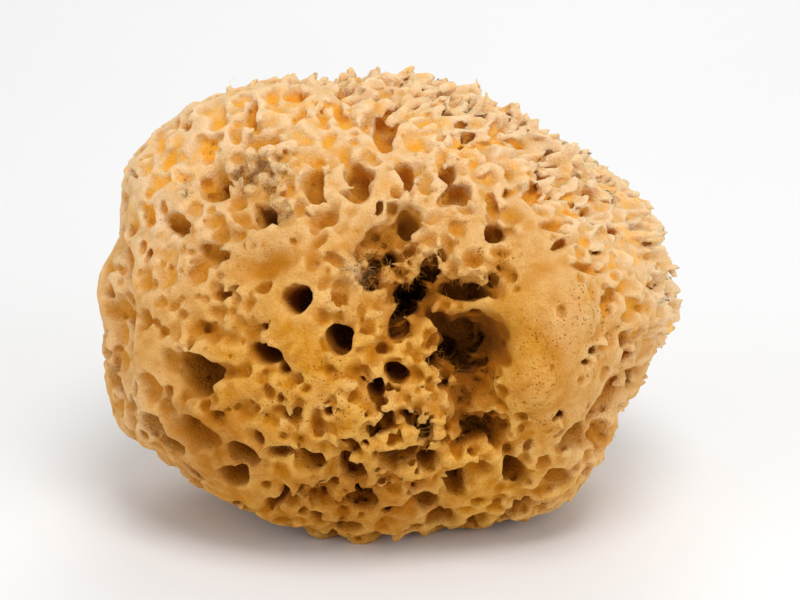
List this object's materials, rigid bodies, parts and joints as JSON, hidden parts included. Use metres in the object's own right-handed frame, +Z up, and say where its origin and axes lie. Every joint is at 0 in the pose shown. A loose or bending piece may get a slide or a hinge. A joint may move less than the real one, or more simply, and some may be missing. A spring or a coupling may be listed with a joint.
{
  "type": "natural sea sponge",
  "caption": "Dried honeycomb bath sponge: a rounded, open-pored natural sponge, worn smooth in places, with pointed tufts on its crown and a flat cut base to rest on.",
  "frame": {"origin": "the middle of the box round the sponge, on the surface that it rests on", "axes": "+X along the sponge's longest way, to the right of the pictured side; +Y away from the pictured side; +Z up from the cut base"},
  "size_m": [0.1444, 0.115, 0.1093],
  "materials": {
    "skeleton": "matt, felted dry spongin fibre, tan to orange-brown, nearly black down in the pores"
  },
  "bodies": {
    "root": {"sponge": "skeleton"}
  },
  "joints": []
}
